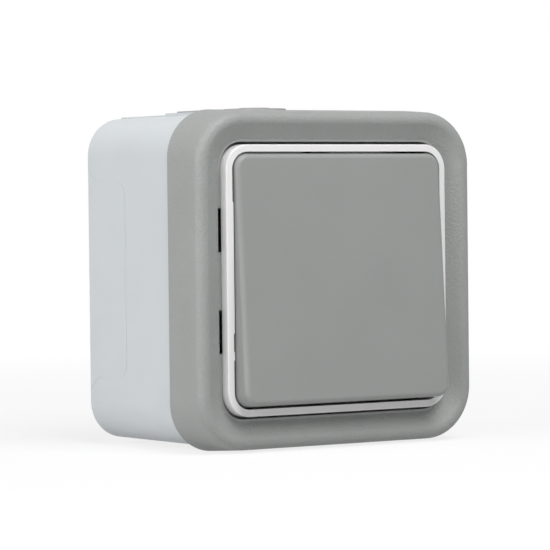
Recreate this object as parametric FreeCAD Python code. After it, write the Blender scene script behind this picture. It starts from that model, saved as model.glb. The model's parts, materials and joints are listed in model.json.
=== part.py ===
import FreeCAD, Part
import math
import os
from FreeCAD import Vector

# Surface-mounted weatherproof rocker switch, in millimetres.
# The wall face is the plane Y = 0, centred on X = 0 and Z = 0, with +Z up.
# The front looks along -Y, so a distance "out" from the wall is -Y.
# X runs to the right as seen from the front.

# Insulated base of the mechanism; the box, the frame and the front follow from it
base_size = 44.0

# Back box
frame_overhang = 1.2
box_corner_r = 8.7
box_depth = 36.45
box_wall = 2.2
box_floor = 2.5
box_edge_r = 0.5
spigot_wall = 2.0
spigot_height = 3.95
land_height = 0.35
land_setback = 1.0

# Break-out panel at the wall edge of the box's left and right sides, shown by a fine line
knockout_half = 22.6
knockout_depth = 16.7
knockout_corner_r = 4.0
knockout_flare_r = 6.0
knockout_line_width = 0.3
knockout_line_depth = 0.06

# Cable entry on top of the box
entry_out = 14.3
pad_width = 39.8
pad_depth = 21.4
pad_height = 0.8
pad_corner_r = 5.0
gland_set_in_x = 1.7
gland_set_in_y = 3.1
gland_corner_r = 4.0
gland_flange = 1.6
gland_proud = 0.4
gland_step_r = 7.4
gland_step_height = 0.55
gland_throat_r = 2.9
gland_tip_wall = 0.6
gland_tip_height = 0.25
gland_lip = 1.1
gland_lip_thickness = 1.0
gland_skin = 0.65
entry_slot_inset = 2.4
soft_fit = 0.05

# Front frame
frame_draft = 0.7
frame_depth = 11.45
frame_corner_r = 11.0
frame_front_corner_r = 12.2
frame_wall = 2.0
frame_fold_r = 1.9
frame_ceiling = 3.6
dish_rim = 2.4
dish_crest_r = 1.6
dish_corner_r = 9.9
dish_drop = 2.27
dish_land = 0.5
opening_gap_x = 0.15
opening_gap_z = 0.65
tube_wall = 1.6
ledge_reach = 1.15
ledge_thickness = 1.8
seal_fit = 0.3

# White trim ring of the insert
ring_border = 8.0
ring_corner_r = 5.6
ring_wall = 1.6
ring_proud = 2.28
ring_depth = 5.7
ring_edge_r = 0.3
cheek_length = 34.8
cheek_thickness = 0.22
cheek_notch_length = 4.0
cheek_notch_start = 11.5
latch_width = 9.0
latch_thickness = 1.2
latch_hook = 0.9
latch_hook_height = 1.1
latch_set_in = 1.6
latch_clearance = 0.2
slot_width = 0.7
slot_centre = 11.2
slot_length = 9.7

# Rocker, drawn level and then tilted about its pivot
rocker_gap_x = 0.5
rocker_gap_z = 0.62
rocker_corner_r = 3.2
rocker_proud = 2.64
rocker_skirt = 7.0
rocker_plate = 1.8
rocker_wall = 1.3
rocker_edge_r = 1.2
rocker_tilt = 3.6
pivot_over_box = 9.85
pivot_r = 1.2
pivot_clearance = 0.05
rib_thickness = 1.2
rib_height = 1.4
rib_set_in = 4.1
clip_place = 9.0
clip_width = 5.0
clip_thickness = 1.3
clip_nose = 0.7
clip_nose_height = 0.8

# Cradle under the rocker
cradle_set_in = 10.6
cradle_plate = 1.8
cradle_bar = 3.0
ear_thickness = 2.0
ear_r = 2.4
pin_length = 3.4
stem_r = 3.2
stem_end = 11.3
bore_r = 2.0
bore_start = 1.6

# Plunger and its spring, measured from the pivot along the stem
plunger_clearance = 0.05
piston_start = 8.4
piston_length = 2.0
tip_r = 1.2
tip_centre = 15.0
spring_wire_r = 0.25
spring_turns = 6.5
spring_side_gap = 0.2
spring_end_gap = 0.1
spring_plunger_gap = 0.2

# Steel yoke
yoke_side_gap = 0.5
yoke_thickness = 1.5
yoke_over_box = 0.05
post_set_in = 6.2
post_r = 3.4
web_thickness = 1.6
yoke_screw_r = 1.5
yoke_head_r = 2.4
yoke_head_height = 1.4
yoke_screw_length = 9.0
screw_clearance = 0.3
thread_gap = 0.05
slot_cut = 0.6

# Insulated base and cover of the mechanism
base_post_gap = 1.6
base_corner_r = 2.0
base_floor = 5.6
collar_reach = 2.0
collar_thickness = 2.5
base_in_yoke_gap = 0.2
cover_thickness = 2.0
cover_hole_x = 4.0
cover_hole_z = 4.8
lug_thickness = 3.0
lug_set_in = 2.2
lug_width = 6.0
lug_over_pivot = 1.9
lug_side_gap = 0.4
chamber_half_x = 7.0
chamber_end_gap = 3.4
cover_screw_set_in = 2.4
cover_screw_r = 1.1
cover_head_r = 2.0
cover_head_height = 1.2
cover_screw_length = 9.0
pocket_gap = 0.1

# Contact lever, drawn level and then tilted about its own pins
lever_radius = 5.0
lever_ratio = 3.0
lever_half_width = 2.4
lever_end = 1.6
lever_thickness = 1.2
saddle_gap = 0.2
saddle_wall = 0.9
lever_pin_r = 0.8
lever_pin_length = 2.0
contact_place = 9.0
contact_r = 1.5
contact_crown_r = 4.0
contact_height = 1.0
contact_gap = 0.08
fixed_contact_r = 1.8
fixed_contact_thickness = 0.5

# Terminals
strip_thickness = 0.8
strip_width = 4.4
terminal_size = 7.0
terminal_set_in = 7.5
common_lug_thickness = 1.0
common_lug_gap = 0.5
common_lug_width = 3.6
common_lug_over_pin = 1.2
wire_hole_r = 1.6
terminal_screw_r = 1.7
terminal_head_r = 2.9
terminal_head_height = 1.9
terminal_screw_length = 4.2
terminal_screw_stop = 1.2
terminal_floor = 1.5

# Wall fixing slots and earth terminal in the box
fixing_set_in = 10.0
fixing_set_down = 1.0
fixing_hole_r = 2.4
fixing_slot_length = 9.0
wall_seal_rim = 1.6
wall_seal_thickness = 1.2
earth_over_fixing = 14.0
earth_length = 10.0
earth_width = 8.0
earth_height = 5.0
earth_screw_bite = 1.0
earth_socket_wall = 1.2
earth_socket_height = 3.0

# Soft seals
seal_height = 2.0
insert_seal_set_out = 0.1
insert_seal_width = 1.8
stem_seal_r = 8.0
stem_seal_thickness = 0.9

# Places worked out from the sizes above
base_half = base_size / 2
collar_half = base_half + collar_reach
post_place = base_half + base_post_gap + post_r
yoke_half = post_place + post_set_in
spigot_half = yoke_half + yoke_side_gap + spigot_wall
frame_inner_r = frame_front_corner_r - frame_wall
spigot_outer_r = frame_inner_r - seal_fit
spigot_inner_r = spigot_outer_r - spigot_wall
yoke_corner_r = spigot_inner_r - yoke_side_gap
frame_half = spigot_half + seal_fit + frame_wall
frame_front_half = frame_half - frame_draft
dish_half = frame_front_half - dish_rim
box_half = frame_half - frame_overhang
box_inner_half = box_half - box_wall
gland_width = pad_width - 2 * gland_set_in_x
gland_depth = pad_depth - 2 * gland_set_in_y
entry_slot_r = gland_corner_r - entry_slot_inset
frame_front_out = box_depth + frame_depth
spigot_out = box_depth + spigot_height
ring_half = frame_half - ring_border
ring_inner_half = ring_half - ring_wall
opening_half_x = ring_half + opening_gap_x
opening_half_z = ring_half + opening_gap_z
opening_r = ring_corner_r
edge_out = frame_front_out - dish_drop
ring_front_out = edge_out + ring_proud
ring_back_out = ring_front_out - ring_depth
ledge_back_out = ring_back_out - ledge_thickness
latch_inner = ring_half - latch_set_in
latch_outer = latch_inner + latch_thickness
yoke_back_out = box_depth + yoke_over_box
yoke_front_out = yoke_back_out + yoke_thickness
cover_front_out = yoke_front_out + cover_thickness
cover_screw_place = base_half - cover_screw_set_in
terminal_place = base_half - terminal_set_in
fixing_x = post_place - fixing_set_in
fixing_z = post_place + fixing_set_down
earth_z = earth_over_fixing - fixing_z
pivot_out = box_depth + pivot_over_box
rocker_half_x = ring_inner_half - rocker_gap_x
rocker_half_z = ring_inner_half - rocker_gap_z
rocker_face_out = ring_front_out + rocker_proud
rocker_inside_out = rocker_face_out - rocker_plate
cradle_back_out = rocker_inside_out - cradle_plate
cradle_half_x = collar_half - lug_set_in - lug_thickness - lug_side_gap
cradle_half_z = rocker_half_z - cradle_set_in
lever_tilt = rocker_tilt * lever_ratio
lever_out = pivot_out - tip_centre - lever_radius
land_top = box_half + land_height
pad_top = land_top + pad_height
tilt_sin = math.sin(math.radians(lever_tilt))
tilt_cos = math.cos(math.radians(lever_tilt))
crown_centre = lever_thickness / 2 + contact_height - contact_crown_r
touch_back = contact_place * tilt_sin + crown_centre * tilt_cos + contact_crown_r
touch_z = contact_place * tilt_cos - crown_centre * tilt_sin
contact_face_out = lever_out - touch_back - contact_gap
strip_front_out = contact_face_out - fixed_contact_thickness
chamber_floor_out = strip_front_out - strip_thickness
base_back_out = chamber_floor_out - base_floor
lever_arm = contact_place + lever_end
chamber_half_z = lever_arm + chamber_end_gap


def block(x0, x1, z0, z1, near, far):
    """Box between two distances from the wall."""
    corner = Vector(x0, -far, z0)
    return Part.makeBox(x1 - x0, far - near, z1 - z0, corner)


def centred_block(x, z, width, height, near, far):
    return block(x - width / 2, x + width / 2, z - height / 2, z + height / 2, near, far)


def rod(radius, near, far, x=0, z=0):
    """Cylinder square to the wall."""
    return Part.makeCylinder(radius, far - near, Vector(x, -near, z), Vector(0, -1, 0))


def cross_rod(radius, x0, x1, out, z=0):
    """Cylinder along X."""
    return Part.makeCylinder(radius, x1 - x0, Vector(x0, -out, z), Vector(1, 0, 0))


def long_hole(radius, length, near, far, x, z):
    """Bar with round ends along X, square to the wall."""
    half = length / 2 - radius
    bar = block(x - half, x + half, z - radius, z + radius, near, far)
    return bar.fuse([rod(radius, near, far, x - half, z), rod(radius, near, far, x + half, z)])


def square_wire(half, corner_r, out):
    """Rounded square parallel to the wall."""
    return rounded_wire(half, half, corner_r, out)


def rounded_wire(half_x, half_z, corner_r, out):
    kx = half_x - corner_r
    kz = half_z - corner_r
    edges = []
    last = Vector(half_x, -out, -kz)
    for sx, sz, first in ((1, 1, 0), (-1, 1, 90), (-1, -1, 180), (1, -1, 270)):
        centre = Vector(sx * kx, -out, sz * kz)
        points = []
        for angle in (first, first + 45, first + 90):
            turn = math.radians(angle)
            points.append(centre + Vector(corner_r * math.cos(turn), 0, corner_r * math.sin(turn)))
        edges.append(Part.makeLine(last, points[0]))
        edges.append(Part.Arc(points[0], points[1], points[2]).toShape())
        last = points[2]
    return Part.Wire(edges)


def prism(wire, length):
    """Solid from a wire parallel to the wall, drawn outwards."""
    return Part.Face(wire).extrude(Vector(0, -length, 0))


def square_prism(half, corner_r, near, far):
    return prism(square_wire(half, corner_r, near), far - near)


def round_edges_at(shape, out, radius, smallest=0, largest=1000):
    """Round the edges in one plane parallel to the wall that reach out from smallest to largest."""
    chosen = []
    for edge in shape.Edges:
        bounds = edge.BoundBox
        flat = abs(bounds.YMin + out) < 1e-3 and abs(bounds.YMax + out) < 1e-3
        reach = max(abs(bounds.XMin), abs(bounds.XMax), abs(bounds.ZMin), abs(bounds.ZMax))
        if flat and smallest < reach < largest:
            chosen.append(edge)
    return shape.makeFillet(radius, chosen)


def four_places(x, z):
    return [(sx * x, sz * z) for sx in (-1, 1) for sz in (-1, 1)]


def save(name, shape):
    shape.removeSplitter().exportStep("parts/" + name + ".step")


def tilt_rocker(shape):
    shape.rotate(Vector(0, -pivot_out, 0), Vector(1, 0, 0), -rocker_tilt)
    return shape


def tilt_lever(shape):
    shape.rotate(Vector(0, -lever_out, 0), Vector(1, 0, 0), lever_tilt)
    return shape


# Light grey box with its raised entry pad
def entry_prism(width, depth, corner_r, bottom, top):
    """Rounded block standing on the box's top, centred on the cable entry."""
    half_x = width / 2
    half_y = depth / 2
    solid = Part.makeBox(width, depth, top - bottom, Vector(-half_x, -entry_out - half_y, bottom))
    upright = [edge for edge in solid.Edges if edge.BoundBox.ZLength > 0.9 * (top - bottom)]
    return solid.makeFillet(corner_r, upright)


def make_back_box():
    body = square_prism(box_half, box_corner_r, 0, box_depth)
    body = round_edges_at(body, 0, box_edge_r)
    body = body.fuse(square_prism(spigot_half, spigot_outer_r, box_depth, spigot_out))
    flat_half = box_half - box_corner_r
    land = block(-flat_half, flat_half, box_half - 1, land_top, land_setback, box_depth)
    body = body.fuse(land)
    body = body.fuse(entry_prism(pad_width, pad_depth, pad_corner_r, box_half - 1, pad_top))
    inner_r = box_corner_r - box_wall
    body = body.cut(square_prism(box_inner_half, inner_r, box_floor, box_depth - box_wall))
    spigot_inner = spigot_half - spigot_wall
    body = body.cut(square_prism(spigot_inner, spigot_inner_r, box_depth - box_wall, spigot_out))
    for side in (-1, 1):
        body = body.cut(knockout_panel(side, 0).cut(knockout_panel(side, knockout_line_width)))
    body = body.cut(gland_recess())
    body = body.cut(entry_slot(0))
    body = body.fuse(box_posts())
    body = body.fuse(earth_socket())
    for x, z in four_places(fixing_x, fixing_z):
        body = body.cut(long_hole(fixing_hole_r, fixing_slot_length, 0, box_floor, x, z))
    for x, z in four_places(post_place, post_place):
        depth = yoke_screw_length - yoke_thickness + screw_clearance
        body = body.cut(rod(yoke_screw_r + thread_gap, yoke_back_out - depth, yoke_back_out, x, z))
    return body


def knockout_panel(side, inset):
    """The break-out panel's outline, flared where it meets the wall, as a block just under the face."""
    x = side * (box_half - knockout_line_depth)
    top = knockout_half - inset
    far = knockout_depth - inset
    corner = knockout_corner_r - inset
    flare = knockout_flare_r + inset
    flare_z = knockout_half + knockout_flare_r
    half_turn = math.sqrt(0.5)
    corner_out = far - corner + corner * half_turn
    corner_z = top - corner + corner * half_turn
    flare_out = knockout_flare_r - flare * half_turn
    upper = [(-1, flare_z), (-inset, flare_z), (flare_out, flare_z - flare * half_turn),
             (knockout_flare_r, top), (far - corner, top), (corner_out, corner_z), (far, top - corner)]
    points = [Vector(x, -out, z) for out, z in upper]
    points += [Vector(x, -out, -z) for out, z in reversed(upper)]
    edges = [Part.makeLine(points[0], points[1])]
    edges.append(Part.Arc(points[1], points[2], points[3]).toShape())
    edges.append(Part.makeLine(points[3], points[4]))
    edges.append(Part.Arc(points[4], points[5], points[6]).toShape())
    edges.append(Part.makeLine(points[6], points[7]))
    edges.append(Part.Arc(points[7], points[8], points[9]).toShape())
    edges.append(Part.makeLine(points[9], points[10]))
    edges.append(Part.Arc(points[10], points[11], points[12]).toShape())
    edges.append(Part.makeLine(points[12], points[13]))
    edges.append(Part.makeLine(points[13], points[0]))
    return Part.Face(Part.Wire(edges)).extrude(Vector(side, 0, 0))


def gland_recess():
    bottom = pad_top + gland_proud - gland_flange
    width = gland_width + 2 * soft_fit
    depth = gland_depth + 2 * soft_fit
    return entry_prism(width, depth, gland_corner_r + soft_fit, bottom, pad_top)


def entry_slot(smaller):
    width = gland_width - 2 * (entry_slot_inset + smaller)
    depth = gland_depth - 2 * (entry_slot_inset + smaller)
    return entry_prism(width, depth, entry_slot_r - smaller, box_inner_half - 1, pad_top)


def box_posts():
    posts = []
    for x, z in four_places(post_place, post_place):
        sx = math.copysign(1, x)
        sz = math.copysign(1, z)
        post = rod(post_r, box_floor, yoke_back_out, x, z)
        reach = box_inner_half + box_wall / 2
        half_web = web_thickness / 2
        x0, x1 = sorted((x, sx * reach))
        z0, z1 = sorted((z, sz * reach))
        top = box_depth - box_wall
        post = post.fuse(block(x0, x1, z - half_web, z + half_web, box_floor, top))
        post = post.fuse(block(x - half_web, x + half_web, z0, z1, box_floor, top))
        posts.append(post)
    return posts


def earth_socket():
    wall = 2 * (earth_socket_wall + pocket_gap)
    top = box_floor + earth_socket_height
    socket = centred_block(0, earth_z, earth_length + wall, earth_width + wall, box_floor, top)
    inner_x = earth_length + 2 * pocket_gap
    inner_z = earth_width + 2 * pocket_gap
    return socket.cut(centred_block(0, earth_z, inner_x, inner_z, box_floor, top))


def make_cable_gland():
    flange_bottom = pad_top + gland_proud - gland_flange
    flange_top = pad_top + gland_proud
    gland = entry_prism(gland_width, gland_depth, gland_corner_r, flange_bottom, flange_top)
    step_top = flange_top + gland_step_height
    tip_top = step_top + gland_tip_height
    centre = Vector(0, -entry_out, flange_bottom)
    step = Part.makeCylinder(gland_step_r, step_top - flange_bottom, centre)
    rim_r = gland_throat_r + gland_tip_wall
    tip = Part.makeCylinder(rim_r, tip_top - flange_bottom, centre)
    gland = gland.fuse([step, tip])
    width = gland_width - 2 * (entry_slot_inset + soft_fit)
    depth = gland_depth - 2 * (entry_slot_inset + soft_fit)
    lip_top = box_inner_half
    lip_bottom = lip_top - gland_lip_thickness
    neck_r = entry_slot_r - soft_fit
    gland = gland.fuse(entry_prism(width, depth, neck_r, lip_bottom, flange_bottom))
    lip = entry_prism(width + 2 * gland_lip, depth + 2 * gland_lip, neck_r + gland_lip, lip_bottom, lip_top)
    gland = gland.fuse(lip)
    inner_width = width - 2 * gland_skin
    inner_depth = depth - 2 * gland_skin
    skin_bottom = flange_top - gland_skin
    hollow = entry_prism(inner_width, inner_depth, neck_r - gland_skin, lip_bottom, skin_bottom)
    gland = gland.cut(hollow)
    middle = Vector(0, -entry_out, lip_bottom)
    throat = Part.makeCylinder(gland_throat_r, tip_top - lip_bottom, middle)
    return gland.cut(throat)


# Grey front frame with its dished face
def make_front_frame():
    back = square_wire(frame_half, frame_corner_r, box_depth)
    front = square_wire(frame_front_half, frame_front_corner_r, frame_front_out)
    frame = Part.makeLoft([back, front], True, True)
    # the dish is a shallow square funnel from a rounded crest to a narrow land round the opening
    land_x = opening_half_x + dish_land
    land_z = opening_half_z + dish_land
    slope = (dish_half - land_z) / dish_drop
    over = 1.0
    wide = square_wire(dish_half + slope * over, dish_corner_r + slope * over / 2, frame_front_out + over)
    narrow = rounded_wire(land_x, land_z, opening_r + dish_land, edge_out)
    frame = frame.cut(Part.makeLoft([narrow, wide], True, True))
    mid_rim = (dish_half + frame_front_half) / 2
    frame = round_edges_at(frame, frame_front_out, dish_crest_r, 0, mid_rim)
    frame = round_edges_at(frame, frame_front_out, frame_fold_r, mid_rim)
    ceiling_out = frame_front_out - frame_ceiling
    frame = frame.cut(square_prism(frame_half - frame_wall, frame_inner_r, box_depth, ceiling_out))
    tube = rounded_wire(opening_half_x + tube_wall, opening_half_z + tube_wall, opening_r + tube_wall,
                        ledge_back_out)
    frame = frame.fuse(prism(tube, ceiling_out - ledge_back_out))
    frame = frame.fuse(seal_rib(ceiling_out))
    opening = rounded_wire(opening_half_x, opening_half_z, opening_r, ring_back_out)
    frame = frame.cut(prism(opening, frame_front_out - ring_back_out))
    ledge_half = ring_half - ledge_reach
    frame = frame.cut(square_prism(ledge_half, ring_corner_r - ledge_reach, ledge_back_out, ring_back_out))
    frame = frame.cut(latch_ways(ledge_back_out, ring_back_out))
    for side, z in four_places(1, slot_centre):
        x = side * (opening_half_x + slot_width / 2)
        frame = frame.cut(centred_block(x, z, slot_width, slot_length, ring_back_out, frame_front_out))
    return frame


def seal_rib(ceiling_out):
    """Rib that presses on the seal, as wide as the spigot's rim less a step each side."""
    outer = spigot_half - spigot_wall / 4
    inner = spigot_half - spigot_wall * 3 / 4
    outer_r = spigot_outer_r - spigot_wall / 4
    near = spigot_out + seal_height
    rib = square_prism(outer, outer_r, near, ceiling_out)
    return rib.cut(square_prism(inner, outer_r - spigot_wall / 2, near, ceiling_out))


def on_four_sides(shape):
    """The shape drawn on the right, repeated on the other three sides."""
    shapes = []
    for turn in range(4):
        copy = shape.copy()
        copy.rotate(Vector(0, 0, 0), Vector(0, 1, 0), 90 * turn)
        shapes.append(copy)
    return shapes


def latch_ways(near, far):
    """Passages for the latch arms through a ledge or plate."""
    half = latch_width / 2 + latch_clearance
    inner = latch_inner - latch_clearance
    outer = latch_outer + latch_clearance
    return on_four_sides(block(inner, outer, -half, half, near, far))


# White ring with a latch arm on each side, thicker cheeks beside the rocker,
# and notches at the foot of its left and right walls that line up with the frame's slots
def make_trim_ring():
    ring = square_prism(ring_half, ring_corner_r, ring_back_out, ring_front_out)
    inner_r = ring_corner_r - ring_wall
    hole = square_prism(ring_inner_half, inner_r, ring_back_out, ring_front_out)
    for side in (-1, 1):
        x0, x1 = sorted((side * (ring_inner_half - cheek_thickness), side * ring_inner_half))
        cheek = block(x0, x1, -cheek_length / 2, cheek_length / 2, ring_back_out, ring_front_out)
        notch_end = -cheek_notch_start
        notch = block(x0, x1, notch_end - cheek_notch_length, notch_end, ring_back_out, ring_front_out)
        hole = hole.cut(cheek.cut(notch))
    ring = ring.cut(hole)
    ring = round_edges_at(ring, ring_front_out, ring_edge_r, ring_half - 0.5)
    for side, z in four_places(1, slot_centre):
        x0, x1 = sorted((side * (ring_inner_half - cheek_thickness), side * ring_half))
        half = slot_length / 2
        ring = ring.cut(block(x0, x1, z - half, z + half, ring_back_out, edge_out))
    half = latch_width / 2
    hook_end = yoke_back_out - latch_hook_height
    arm = block(latch_inner, latch_outer, -half, half, hook_end, ring_back_out)
    hook = block(latch_inner, latch_outer + latch_hook, -half, half, hook_end, yoke_back_out)
    return ring.fuse(on_four_sides(arm.fuse(hook)))


# Grey rocker cap
def make_rocker_plate():
    back = rocker_face_out - rocker_skirt
    cap = prism(rounded_wire(rocker_half_x, rocker_half_z, rocker_corner_r, back), rocker_skirt)
    cap = round_edges_at(cap, rocker_face_out, rocker_edge_r)
    inner_x = rocker_half_x - rocker_wall
    inner_z = rocker_half_z - rocker_wall
    inner = rounded_wire(inner_x, inner_z, rocker_corner_r - rocker_wall, back)
    cap = cap.cut(prism(inner, rocker_skirt - rocker_plate))
    half_rib = rib_thickness / 2
    near = rocker_inside_out - rib_height
    reach = rocker_half_z - rocker_wall / 2
    for side in (-1, 1):
        x = side * (rocker_half_x - rib_set_in)
        cap = cap.fuse(block(x - half_rib, x + half_rib, -reach, reach, near, rocker_inside_out))
    for x, side in four_places(clip_place, 1):
        cap = cap.fuse(rocker_clip(x, side))
    return tilt_rocker(cap)


def rocker_clip(x, side):
    """Clip leg that holds the cradle's edge against the cap."""
    edge = cradle_half_z + pocket_gap
    end = cradle_back_out - clip_nose_height
    x0 = x - clip_width / 2
    x1 = x + clip_width / 2
    z0, z1 = sorted((side * edge, side * (edge + clip_thickness)))
    leg = block(x0, x1, z0, z1, end, rocker_inside_out)
    z0, z1 = sorted((side * (edge - clip_nose), side * (edge + clip_thickness)))
    return leg.fuse(block(x0, x1, z0, z1, end, cradle_back_out))


# Cradle with the pivot pins and the plunger's stem
def make_rocker_cradle():
    half_x = cradle_half_x
    half_z = cradle_half_z
    cradle = block(-half_x, half_x, -half_z, half_z, cradle_back_out, rocker_inside_out)
    for sx, sz in four_places(1, 1):
        # a window between the middle bars and the rim
        x0, x1 = sorted((sx * (stem_r + cradle_bar), sx * (half_x - cradle_bar)))
        z0, z1 = sorted((sz * (stem_r + cradle_bar), sz * (half_z - cradle_bar)))
        cradle = cradle.cut(block(x0, x1, z0, z1, cradle_back_out, rocker_inside_out))
    for side in (-1, 1):
        x0, x1 = sorted((side * (half_x - ear_thickness), side * half_x))
        ear = cross_rod(ear_r, x0, x1, pivot_out)
        ear = ear.common(block(x0, x1, -ear_r, ear_r, pivot_out - ear_r, rocker_inside_out))
        x0, x1 = sorted((side * (half_x - ear_thickness), side * (half_x + pin_length)))
        cradle = cradle.fuse([ear, cross_rod(pivot_r, x0, x1, pivot_out)])
    cradle = cradle.fuse(rod(stem_r, pivot_out - stem_end, rocker_inside_out))
    cradle = cradle.cut(rod(bore_r, pivot_out - stem_end, pivot_out - bore_start))
    return tilt_rocker(cradle)


def make_plunger():
    piston_near = pivot_out - piston_start - piston_length
    piston = rod(bore_r - plunger_clearance, piston_near, pivot_out - piston_start)
    tip_out = pivot_out - tip_centre
    shank = rod(tip_r, tip_out, piston_near)
    nose = Part.makeSphere(tip_r, Vector(0, -tip_out, 0))
    return tilt_rocker(piston.fuse([shank, nose]))


def make_spring():
    """Helix between the bore's end and the piston."""
    first = bore_start + spring_end_gap + spring_wire_r
    last = piston_start - spring_plunger_gap - spring_wire_r
    coil_r = bore_r - spring_side_gap - spring_wire_r
    helix = Part.makeHelix((last - first) / spring_turns, last - first, coil_r)
    wire_circle = Part.makeCircle(spring_wire_r, Vector(coil_r, 0, 0), Vector(0, 1, 0))
    coil = Part.Wire(helix.Edges).makePipeShell([Part.Wire([wire_circle])], True, True)
    coil.rotate(Vector(0, 0, 0), Vector(1, 0, 0), -90)
    coil.translate(Vector(0, -pivot_out + first, 0))
    return tilt_rocker(coil)


# Steel plate that carries the insert
def make_yoke():
    yoke = square_prism(yoke_half, yoke_corner_r, yoke_back_out, yoke_front_out)
    opening = base_half + base_in_yoke_gap
    yoke = yoke.cut(square_prism(opening, base_corner_r, yoke_back_out, yoke_front_out))
    for x, z in four_places(post_place, post_place):
        yoke = yoke.cut(rod(yoke_screw_r + screw_clearance, yoke_back_out, yoke_front_out, x, z))
    return yoke.cut(latch_ways(yoke_back_out, yoke_front_out))


def make_screw(shank_r, length, head_r, head_height, seat_out, x, z):
    """Slotted screw whose head sits on a face at seat_out and looks outwards."""
    screw = rod(shank_r, seat_out - length, seat_out, x, z)
    screw = screw.fuse(rod(head_r, seat_out, seat_out + head_height, x, z))
    top = seat_out + head_height
    return screw.cut(centred_block(x, z, 2 * head_r, slot_cut, top - head_height / 2, top))


def make_yoke_screws():
    screws = []
    for x, z in four_places(post_place, post_place):
        screws.append(make_screw(yoke_screw_r, yoke_screw_length, yoke_head_r, yoke_head_height,
                                 yoke_front_out, x, z))
    return Part.makeCompound(screws)


def make_cover_screws():
    screws = []
    for x, z in four_places(cover_screw_place, cover_screw_place):
        screws.append(make_screw(cover_screw_r, cover_screw_length, cover_head_r, cover_head_height,
                                 cover_front_out, x, z))
    return Part.makeCompound(screws)


# Terminals: the common one is on the right, the two switched ones on the left
def terminal_places():
    return [(terminal_place, 0), (-terminal_place, touch_z), (-terminal_place, -touch_z)]


def make_mechanism_base():
    base = square_prism(base_half, base_corner_r, base_back_out, yoke_front_out)
    collar_out = yoke_back_out - collar_thickness
    base = base.fuse(square_prism(collar_half, base_corner_r, collar_out, yoke_back_out))
    base = base.cut(centred_block(0, 0, 2 * chamber_half_x, 2 * chamber_half_z,
                                  chamber_floor_out, yoke_front_out))
    room = terminal_size + 2 * pocket_gap
    for x, z in terminal_places():
        base = base.cut(centred_block(x, z, room, room, chamber_floor_out, yoke_front_out))
        x0, x1 = sorted((0, x))
        half = strip_width / 2 + pocket_gap
        base = base.cut(block(x0, x1, z - half, z + half, chamber_floor_out, yoke_front_out))
        base = base.cut(terminal_screw_way(x, z))
        x0, x1 = sorted((x, math.copysign(collar_half, x)))
        base = base.cut(cross_rod(wire_hole_r, x0, x1, chamber_floor_out + terminal_size / 2, z))
    for x, z in four_places(cover_screw_place, cover_screw_place):
        depth = cover_screw_length - cover_thickness + screw_clearance
        base = base.cut(rod(cover_screw_r + thread_gap, yoke_front_out - depth, yoke_front_out, x, z))
    return base


def terminal_screw_way(x, z):
    """Counterbore from the back and the shank's hole through the floor."""
    seat = chamber_floor_out - terminal_floor
    way = rod(terminal_head_r + screw_clearance, base_back_out, seat, x, z)
    return way.fuse(rod(terminal_screw_r + screw_clearance, seat, chamber_floor_out, x, z))


def make_mechanism_cover():
    cover = square_prism(collar_half, base_corner_r, yoke_front_out, cover_front_out)
    hole = centred_block(0, 0, 2 * cover_hole_x, 2 * cover_hole_z, yoke_front_out, cover_front_out)
    cover = cover.cut(hole)
    inner = cradle_half_x + lug_side_gap
    half = lug_width / 2
    for side in (-1, 1):
        x0, x1 = sorted((side * inner, side * (inner + lug_thickness)))
        lug = block(x0, x1, -half, half, cover_front_out, pivot_out + lug_over_pivot)
        lug = lug.cut(cross_rod(pivot_r + pivot_clearance, x0, x1, pivot_out))
        cover = cover.fuse(lug)
    for x, z in four_places(cover_screw_place, cover_screw_place):
        cover = cover.cut(rod(cover_screw_r + screw_clearance, yoke_front_out, cover_front_out, x, z))
    peg = terminal_size - 2 * screw_clearance
    for x, z in terminal_places():
        near = chamber_floor_out + terminal_size
        cover = cover.fuse(centred_block(x, z, peg, peg / 2, near, yoke_front_out))
    return cover


def terminal_block(x, z):
    """Clamp block with a wire hole from the side and a screw hole from the back."""
    far = chamber_floor_out + terminal_size
    body = centred_block(x, z, terminal_size, terminal_size, chamber_floor_out, far)
    middle = chamber_floor_out + terminal_size / 2
    body = body.cut(cross_rod(wire_hole_r, x - terminal_size / 2, x + terminal_size / 2, middle, z))
    return body.cut(rod(terminal_screw_r + thread_gap, chamber_floor_out, middle, x, z))


def terminal_strip(x, z, end):
    x0, x1 = sorted((end, x - math.copysign(terminal_size / 2, x)))
    return block(x0, x1, z - strip_width / 2, z + strip_width / 2, chamber_floor_out, strip_front_out)


def make_common_terminal():
    x, z = terminal_places()[0]
    part = terminal_block(x, z)
    lug_near = lever_half_width + common_lug_gap
    lug_far = lug_near + common_lug_thickness
    part = part.fuse(terminal_strip(x, z, -lug_far))
    half = common_lug_width / 2
    for side in (-1, 1):
        x0, x1 = sorted((side * lug_near, side * lug_far))
        lug = block(x0, x1, -half, half, chamber_floor_out, lever_out + common_lug_over_pin + lever_pin_r)
        lug = lug.cut(cross_rod(lever_pin_r + pivot_clearance, x0, x1, lever_out))
        part = part.fuse(lug)
    return part


def make_switched_terminal(index):
    x, z = terminal_places()[index]
    return terminal_block(x, z).fuse(terminal_strip(x, z, strip_width / 2))


def make_fixed_contacts():
    discs = [rod(fixed_contact_r, strip_front_out, contact_face_out, 0, z) for z in (-touch_z, touch_z)]
    return Part.makeCompound(discs)


def make_terminal_screws():
    screws = []
    for x, z in terminal_places():
        seat = chamber_floor_out - terminal_floor
        length = terminal_floor + terminal_screw_length - wire_hole_r - terminal_screw_stop
        screw = rod(terminal_screw_r, seat, seat + length, x, z)
        screw = screw.fuse(rod(terminal_head_r, seat - terminal_head_height, seat, x, z))
        cut_near = seat - terminal_head_height
        cut_far = seat - terminal_head_height / 2
        screws.append(screw.cut(centred_block(x, z, 2 * terminal_head_r, slot_cut, cut_near, cut_far)))
    return Part.makeCompound(screws)


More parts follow.
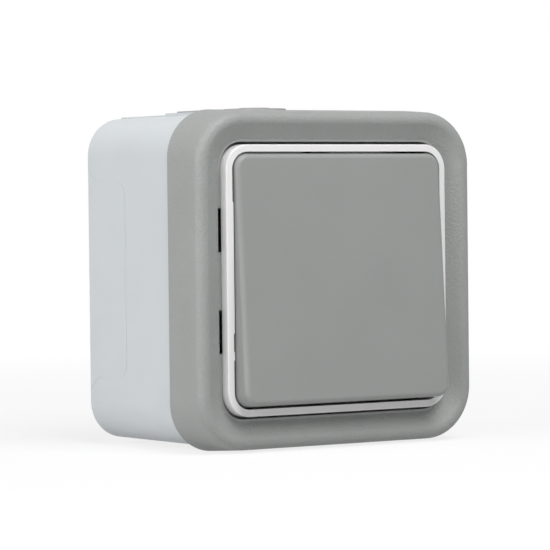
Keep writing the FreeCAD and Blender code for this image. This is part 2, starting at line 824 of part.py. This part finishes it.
# Tilting contact lever with a saddle for the plunger's nose
def make_contact_lever():
    half_t = lever_thickness / 2
    lever = centred_block(0, 0, 2 * lever_half_width, 2 * lever_arm, lever_out - half_t, lever_out + half_t)
    groove_r = tip_r + saddle_gap
    saddle_half = groove_r + saddle_wall
    top = lever_out + lever_radius
    saddle = centred_block(0, 0, 2 * lever_half_width, 2 * saddle_half, lever_out, top)
    saddle = saddle.cut(cross_rod(groove_r, -lever_half_width, lever_half_width, top))
    reach = lever_half_width + lever_pin_length
    return tilt_lever(lever.fuse([saddle, cross_rod(lever_pin_r, -reach, reach, lever_out)]))


def make_moving_contacts():
    """Crowned silver tips on the back of the lever's two arms."""
    tips = []
    back = lever_out - lever_thickness / 2
    for z in (-contact_place, contact_place):
        tip = rod(contact_r, back - contact_height, back, 0, z)
        crown = Part.makeSphere(contact_crown_r, Vector(0, -(back - contact_height + contact_crown_r), z))
        tips.append(tip.common(crown))
    return tilt_lever(Part.makeCompound(tips))


# Soft seals
def make_box_seal():
    far = spigot_out + seal_height
    seal = square_prism(spigot_half, spigot_outer_r, spigot_out, far)
    return seal.cut(square_prism(spigot_half - spigot_wall, spigot_inner_r, spigot_out, far))


def make_insert_seal():
    inner = opening_half_z + insert_seal_set_out
    inner_r = opening_r
    outer = inner + insert_seal_width
    seal = square_prism(outer, inner_r + insert_seal_width, yoke_front_out, ledge_back_out)
    return seal.cut(square_prism(inner, inner_r, yoke_front_out, ledge_back_out))


def make_stem_seal():
    far = cover_front_out + stem_seal_thickness
    seal = rod(stem_seal_r, cover_front_out, far)
    return seal.cut(centred_block(0, 0, 2 * cover_hole_x, 2 * cover_hole_z, cover_front_out, far))


def make_wall_seals():
    rings = []
    far = box_floor + wall_seal_thickness
    for x, z in four_places(fixing_x, fixing_z):
        length = fixing_slot_length + 2 * wall_seal_rim
        ring = long_hole(fixing_hole_r + wall_seal_rim, length, box_floor, far, x, z)
        rings.append(ring.cut(long_hole(fixing_hole_r, fixing_slot_length, box_floor, far, x, z)))
    return Part.makeCompound(rings)


# Earth terminal on the box floor
def make_earth_terminal():
    far = box_floor + earth_height
    body = centred_block(0, earth_z, earth_length, earth_width, box_floor, far)
    middle = box_floor + earth_height / 2
    body = body.cut(cross_rod(wire_hole_r, -earth_length / 2, earth_length / 2, middle, earth_z))
    return body.cut(rod(terminal_screw_r + thread_gap, middle, far, 0, earth_z))


def make_earth_screw():
    seat = box_floor + earth_height
    length = earth_height / 2 - wire_hole_r + earth_screw_bite
    return make_screw(terminal_screw_r, length, terminal_head_r, terminal_head_height, seat, 0, earth_z)


def main():
    os.makedirs("parts", exist_ok=True)
    save("back_box", make_back_box())
    save("cable_gland", make_cable_gland())
    save("front_frame", make_front_frame())
    save("trim_ring", make_trim_ring())
    save("rocker_plate", make_rocker_plate())
    save("rocker_cradle", make_rocker_cradle())
    save("toggle_plunger", make_plunger())
    save("toggle_spring", make_spring())
    save("support_yoke", make_yoke())
    save("yoke_screws", make_yoke_screws())
    save("mechanism_base", make_mechanism_base())
    save("mechanism_cover", make_mechanism_cover())
    save("cover_screws", make_cover_screws())
    save("contact_lever", make_contact_lever())
    save("moving_contacts", make_moving_contacts())
    save("fixed_contacts", make_fixed_contacts())
    save("common_terminal", make_common_terminal())
    save("switched_terminal_1", make_switched_terminal(1))
    save("switched_terminal_2", make_switched_terminal(2))
    save("terminal_screws", make_terminal_screws())
    save("earth_terminal", make_earth_terminal())
    save("earth_screw", make_earth_screw())
    save("wall_seals", make_wall_seals())
    save("box_seal", make_box_seal())
    save("insert_seal", make_insert_seal())
    save("stem_seal", make_stem_seal())


main()
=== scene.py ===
import json
import math
import bpy
from mathutils import Matrix, Vector


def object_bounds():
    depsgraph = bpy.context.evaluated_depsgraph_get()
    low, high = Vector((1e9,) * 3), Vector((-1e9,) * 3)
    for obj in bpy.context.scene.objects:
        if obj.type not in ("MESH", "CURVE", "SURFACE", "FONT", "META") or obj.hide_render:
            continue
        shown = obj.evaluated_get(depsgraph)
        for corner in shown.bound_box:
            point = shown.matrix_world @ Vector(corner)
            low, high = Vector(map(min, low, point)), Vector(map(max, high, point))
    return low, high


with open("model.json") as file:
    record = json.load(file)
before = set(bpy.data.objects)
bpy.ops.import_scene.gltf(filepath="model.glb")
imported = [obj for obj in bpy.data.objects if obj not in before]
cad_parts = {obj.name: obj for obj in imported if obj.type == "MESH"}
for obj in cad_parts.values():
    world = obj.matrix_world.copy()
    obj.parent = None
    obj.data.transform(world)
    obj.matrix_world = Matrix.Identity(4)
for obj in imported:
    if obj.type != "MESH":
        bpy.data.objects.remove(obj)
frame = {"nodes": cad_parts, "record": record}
cad_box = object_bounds()

# Camera, as fitted to the straight edges of the photograph's object
IMAGE_SIZE = 550
FOCAL_PIXELS = 3105.6
SENSOR = 36.0
CLIP_START = 0.01
CAMERA_PLACE = Vector((-0.40215, -0.61627, 0.01763))
CAMERA_YAW = 34.097
CAMERA_PITCH = -1.378
CAMERA_ROLL = -0.653

# Light levels: what each adds to a white matt surface that faces it
SKY_LEVEL = 0.03
TOP_LEVEL = 0.92
LEFT_LEVEL = 0.97
FILL_LEVEL = 0.05

# Colours, as linear values
FRAME_GREY = (0.307, 0.318, 0.310)
ROCKER_GREY = (0.279, 0.288, 0.281)
BOX_GREY = (0.583, 0.613, 0.631)
RING_WHITE = (0.825, 0.815, 0.821)
GLAND_GREY = (0.395, 0.400, 0.385)
SEAL_BLACK = (0.018, 0.018, 0.020)
INSULATOR_WHITE = (0.74, 0.73, 0.69)
ZINC = (0.60, 0.61, 0.62)
STEEL = (0.56, 0.57, 0.58)
SPRING_STEEL = (0.36, 0.37, 0.39)
BRASS = (0.66, 0.44, 0.16)
SILVER = (0.82, 0.81, 0.78)

# Part of a noise's range, round its middle, that is spread over what it drives
NOISE_LOW = 0.3
NOISE_HIGH = 0.7

# Plastic: sizes and depths in metres, and how far the roughness wanders
PLASTIC_FLOW = 0.016
PLASTIC_WAVE = 0.009
PLASTIC_WAVE_DEPTH = 0.00002
PLASTIC_UNEVEN = 0.06
PLASTIC_IOR = 1.49

# Rubber: the roughness wanders further down than up
RUBBER_CLOUD = 0.006
RUBBER_GRAIN = 0.00025
RUBBER_GRAIN_DEPTH = 0.000012
RUBBER_SPREAD = 0.06
RUBBER_SMOOTHER = 0.08
RUBBER_ROUGHER = 0.05
RUBBER_IOR = 1.45

# Metal
METAL_CLOUD = 0.004
METAL_MARKS = 0.00012
METAL_SPREAD = 0.07
METAL_UNEVEN = 0.08

# Floor: the camera sees it brighten to plain white between the two distances from the origin
FLOOR_WHITE = (0.93, 0.93, 0.93)
FLOOR_BOUNCE = (0.66, 0.66, 0.66)
FLOOR_ROUGHNESS = 0.9
FLOOR_REACH = 3.0
NEAR_GLOW = 0.8
GLOW_START = 0.08
GLOW_FULL = 0.40


def new_material(name):
    """A new material; returns it with its node tree and its shader."""
    material = bpy.data.materials.new(name)
    material.use_nodes = True
    tree = material.node_tree
    shader = tree.nodes["Principled BSDF"]
    return material, tree, shader


def add_noise(tree, coordinates, size, detail, stretch=(1, 1, 1)):
    """Noise whose features are about size metres across; stretch makes them longer on an axis."""
    mapping = tree.nodes.new("ShaderNodeMapping")
    mapping.inputs["Scale"].default_value = [1 / (size * part) for part in stretch]
    tree.links.new(coordinates, mapping.inputs["Vector"])
    noise = tree.nodes.new("ShaderNodeTexNoise")
    noise.inputs["Scale"].default_value = 1.0
    noise.inputs["Detail"].default_value = detail
    tree.links.new(mapping.outputs["Vector"], noise.inputs["Vector"])
    return noise.outputs["Fac"]


def add_range(tree, value, low, high):
    """Maps the middle of a noise to low and high."""
    node = tree.nodes.new("ShaderNodeMapRange")
    node.inputs["From Min"].default_value = NOISE_LOW
    node.inputs["From Max"].default_value = NOISE_HIGH
    node.inputs["To Min"].default_value = low
    node.inputs["To Max"].default_value = high
    tree.links.new(value, node.inputs["Value"])
    return node.outputs["Result"]


def add_shades(tree, value, colour, spread):
    """A colour that wanders up and down in lightness by spread."""
    ramp = tree.nodes.new("ShaderNodeValToRGB")
    dark = [part * (1 - spread) for part in colour]
    light = [min(1.0, part * (1 + spread)) for part in colour]
    ramp.color_ramp.elements[0].position = NOISE_LOW
    ramp.color_ramp.elements[0].color = (*dark, 1)
    ramp.color_ramp.elements[1].position = NOISE_HIGH
    ramp.color_ramp.elements[1].color = (*light, 1)
    tree.links.new(value, ramp.inputs["Fac"])
    return ramp.outputs["Color"]


def add_bump(tree, shader, height, depth, under=None):
    """Bump of a real depth in metres; a second one can lie under it."""
    bump = tree.nodes.new("ShaderNodeBump")
    bump.inputs["Strength"].default_value = 1.0
    bump.inputs["Distance"].default_value = depth
    tree.links.new(height, bump.inputs["Height"])
    if under is not None:
        tree.links.new(under, bump.inputs["Normal"])
    tree.links.new(bump.outputs["Normal"], shader.inputs["Normal"])
    return bump.outputs["Normal"]


def add_seen(tree):
    """1 for what the camera or a reflection sees directly, 0 for all other light."""
    light_path = tree.nodes.new("ShaderNodeLightPath")
    either = tree.nodes.new("ShaderNodeMath")
    either.operation = "MAXIMUM"
    tree.links.new(light_path.outputs["Is Camera Ray"], either.inputs[0])
    tree.links.new(light_path.outputs["Is Glossy Ray"], either.inputs[1])
    return either.outputs["Value"]


def moulded_plastic(name, colour, roughness, grain, grain_depth, spread=0.03):
    """Moulded plastic: spark-eroded grain, faint flow shades and an uneven gloss."""
    material, tree, shader = new_material(name)
    coordinates = tree.nodes.new("ShaderNodeTexCoord").outputs["Object"]
    flow = add_noise(tree, coordinates, PLASTIC_FLOW, 3.0)
    fine = add_noise(tree, coordinates, grain, 3.0)
    wave = add_noise(tree, coordinates, PLASTIC_WAVE, 1.0)
    shades = add_shades(tree, flow, colour, spread)
    gloss = add_range(tree, fine, roughness - PLASTIC_UNEVEN, roughness + PLASTIC_UNEVEN)
    tree.links.new(shades, shader.inputs["Base Color"])
    tree.links.new(gloss, shader.inputs["Roughness"])
    under = add_bump(tree, shader, wave, PLASTIC_WAVE_DEPTH)
    add_bump(tree, shader, fine, grain_depth, under)
    shader.inputs["IOR"].default_value = PLASTIC_IOR
    return material


def soft_rubber(name, colour, roughness):
    """Matt rubber with a dusty, slightly uneven skin."""
    material, tree, shader = new_material(name)
    coordinates = tree.nodes.new("ShaderNodeTexCoord").outputs["Object"]
    cloud = add_noise(tree, coordinates, RUBBER_CLOUD, 4.0)
    fine = add_noise(tree, coordinates, RUBBER_GRAIN, 2.0)
    shades = add_shades(tree, cloud, colour, RUBBER_SPREAD)
    gloss = add_range(tree, cloud, roughness - RUBBER_SMOOTHER, roughness + RUBBER_ROUGHER)
    tree.links.new(shades, shader.inputs["Base Color"])
    tree.links.new(gloss, shader.inputs["Roughness"])
    add_bump(tree, shader, fine, RUBBER_GRAIN_DEPTH)
    shader.inputs["IOR"].default_value = RUBBER_IOR
    return material


def worked_metal(name, colour, roughness, stretch, depth):
    """Metal with drawn or stamped marks along one axis."""
    material, tree, shader = new_material(name)
    coordinates = tree.nodes.new("ShaderNodeTexCoord").outputs["Object"]
    cloud = add_noise(tree, coordinates, METAL_CLOUD, 3.0)
    marks = add_noise(tree, coordinates, METAL_MARKS, 2.0, stretch)
    shades = add_shades(tree, cloud, colour, METAL_SPREAD)
    gloss = add_range(tree, marks, roughness - METAL_UNEVEN, roughness + METAL_UNEVEN)
    tree.links.new(shades, shader.inputs["Base Color"])
    tree.links.new(gloss, shader.inputs["Roughness"])
    add_bump(tree, shader, marks, depth)
    shader.inputs["Metallic"].default_value = 1.0
    return material


def dress_nodes():
    """Every carried-over node gets its finish on its own slots."""
    finishes = {
        # Plastic: colour, roughness, size and depth of the grain, spread of the shades
        "frame_plastic": moulded_plastic("frame_grained", FRAME_GREY, 0.52, 0.00048, 0.000180),
        "rocker_plastic": moulded_plastic("rocker_satin", ROCKER_GREY, 0.42, 0.00028, 0.000008, 0.02),
        "box_plastic": moulded_plastic("box_satin", BOX_GREY, 0.46, 0.00035, 0.000012, 0.02),
        "ring_plastic": moulded_plastic("ring_satin", RING_WHITE, 0.36, 0.00030, 0.000005, 0.01),
        "white_insulator": moulded_plastic("insulator_satin", INSULATOR_WHITE, 0.42, 0.00030, 0.000008),
        # Rubber: colour and roughness
        "gland_rubber": soft_rubber("gland_rubber_skin", GLAND_GREY, 0.66),
        "seal_rubber": soft_rubber("seal_rubber_skin", SEAL_BLACK, 0.70),
        # Metal: colour, roughness, stretch of the marks on each axis and their depth
        "zinc_steel": worked_metal("zinc_plate", ZINC, 0.34, (1, 1, 12), 0.000004),
        "steel": worked_metal("screw_steel", STEEL, 0.26, (1, 4, 1), 0.000003),
        "spring_steel": worked_metal("spring_wire", SPRING_STEEL, 0.30, (1, 8, 1), 0.000003),
        "brass": worked_metal("stamped_brass", BRASS, 0.28, (8, 1, 1), 0.000004),
        "silver": worked_metal("contact_silver", SILVER, 0.22, (1, 1, 1), 0.000002),
    }
    for part in frame["record"]["subparts"]:
        node = frame["nodes"][part["node"]]
        finish = finishes[part["material_slot"]]
        for slot in node.material_slots:
            slot.material = finish


def floor_material():
    """White sheet with a soft shadow under the part, plain white to the camera further off."""
    material, tree, shader = new_material("floor_white")
    light_path = tree.nodes.new("ShaderNodeLightPath")
    paint = tree.nodes.new("ShaderNodeMixRGB")
    paint.inputs["Color1"].default_value = (*FLOOR_BOUNCE, 1)
    paint.inputs["Color2"].default_value = (*FLOOR_WHITE, 1)
    tree.links.new(light_path.outputs["Is Camera Ray"], paint.inputs["Fac"])
    tree.links.new(paint.outputs["Color"], shader.inputs["Base Color"])
    shader.inputs["Roughness"].default_value = FLOOR_ROUGHNESS
    glow = tree.nodes.new("ShaderNodeEmission")
    glow.inputs["Strength"].default_value = 1.0
    place = tree.nodes.new("ShaderNodeNewGeometry").outputs["Position"]
    away = tree.nodes.new("ShaderNodeVectorMath")
    away.operation = "LENGTH"
    tree.links.new(place, away.inputs[0])
    share = tree.nodes.new("ShaderNodeMapRange")
    share.inputs["From Min"].default_value = GLOW_START
    share.inputs["From Max"].default_value = GLOW_FULL
    share.inputs["To Min"].default_value = NEAR_GLOW
    share.inputs["To Max"].default_value = 1.0
    tree.links.new(away.outputs["Value"], share.inputs["Value"])
    glowing = tree.nodes.new("ShaderNodeMath")
    glowing.operation = "MULTIPLY"
    tree.links.new(add_seen(tree), glowing.inputs[0])
    tree.links.new(share.outputs["Result"], glowing.inputs[1])
    mix = tree.nodes.new("ShaderNodeMixShader")
    tree.links.new(glowing.outputs["Value"], mix.inputs["Fac"])
    tree.links.new(shader.outputs["BSDF"], mix.inputs[1])
    tree.links.new(glow.outputs["Emission"], mix.inputs[2])
    tree.links.new(mix.outputs["Shader"], tree.nodes["Material Output"].inputs["Surface"])
    return material


def pale_floor():
    """A flat sheet at the height of the part's lowest point."""
    low, high = cad_box
    mesh = bpy.data.meshes.new("floor_sheet")
    corners = [(-1, -1), (1, -1), (1, 1), (-1, 1)]
    places = [(x * FLOOR_REACH, y * FLOOR_REACH, low[2]) for x, y in corners]
    mesh.from_pydata(places, [], [(0, 1, 2, 3)])
    floor = bpy.data.objects.new("floor_sheet", mesh)
    bpy.context.scene.collection.objects.link(floor)
    mesh.materials.append(floor_material())


def white_world():
    """Even studio light all round, seen as plain white behind the part."""
    world = bpy.data.worlds.new("studio")
    bpy.context.scene.world = world
    world.use_nodes = True
    tree = world.node_tree
    sky = tree.nodes["Background"]
    sky.inputs["Color"].default_value = (1, 1, 1, 1)
    sky.inputs["Strength"].default_value = SKY_LEVEL
    backdrop = tree.nodes.new("ShaderNodeBackground")
    backdrop.inputs["Color"].default_value = (1, 1, 1, 1)
    backdrop.inputs["Strength"].default_value = 1.0
    mix = tree.nodes.new("ShaderNodeMixShader")
    tree.links.new(add_seen(tree), mix.inputs["Fac"])
    tree.links.new(sky.outputs["Background"], mix.inputs[1])
    tree.links.new(backdrop.outputs["Background"], mix.inputs[2])
    tree.links.new(mix.outputs["Shader"], tree.nodes["World Output"].inputs["Surface"])


def soft_lamp(name, direction, distance, size, level):
    """Square lamp, distance metres off the origin, that adds level to a white matt surface facing it."""
    lamp = bpy.data.lights.new(name, "AREA")
    lamp.shape = "SQUARE"
    lamp.size = size
    lamp.energy = level * math.pi ** 2 * distance ** 2
    holder = bpy.data.objects.new(name, lamp)
    bpy.context.scene.collection.objects.link(holder)
    towards = Vector(direction).normalized()
    holder.location = towards * distance
    holder.rotation_euler = towards.to_track_quat("Z", "Y").to_euler()


def add_lamps():
    """One soft box high in front, one on the left beside the part, and a weak one level with it."""
    soft_lamp("lamp_top", (0.0, -0.75, 1.0), 0.7, 0.48, TOP_LEVEL)
    soft_lamp("lamp_left", (-1.0, -0.12, 0.22), 0.8, 0.8, LEFT_LEVEL)
    soft_lamp("lamp_fill", (-0.7, -1.0, 0.0), 1.0, 0.8, FILL_LEVEL)


def add_camera():
    """The photograph's camera."""
    camera = bpy.data.cameras.new("camera")
    camera.sensor_fit = "HORIZONTAL"
    camera.sensor_width = SENSOR
    camera.lens = FOCAL_PIXELS / IMAGE_SIZE * SENSOR
    camera.clip_start = CLIP_START
    holder = bpy.data.objects.new("camera", camera)
    bpy.context.scene.collection.objects.link(holder)
    turn = Matrix.Rotation(math.radians(-CAMERA_YAW), 4, "Z")
    tip = Matrix.Rotation(math.radians(90 + CAMERA_PITCH), 4, "X")
    roll = Matrix.Rotation(math.radians(CAMERA_ROLL), 4, "Z")
    holder.matrix_world = Matrix.Translation(CAMERA_PLACE) @ turn @ tip @ roll
    bpy.context.scene.camera = holder


bpy.context.scene.view_settings.view_transform = "Standard"
add_camera()
white_world()
add_lamps()
pale_floor()
dress_nodes()
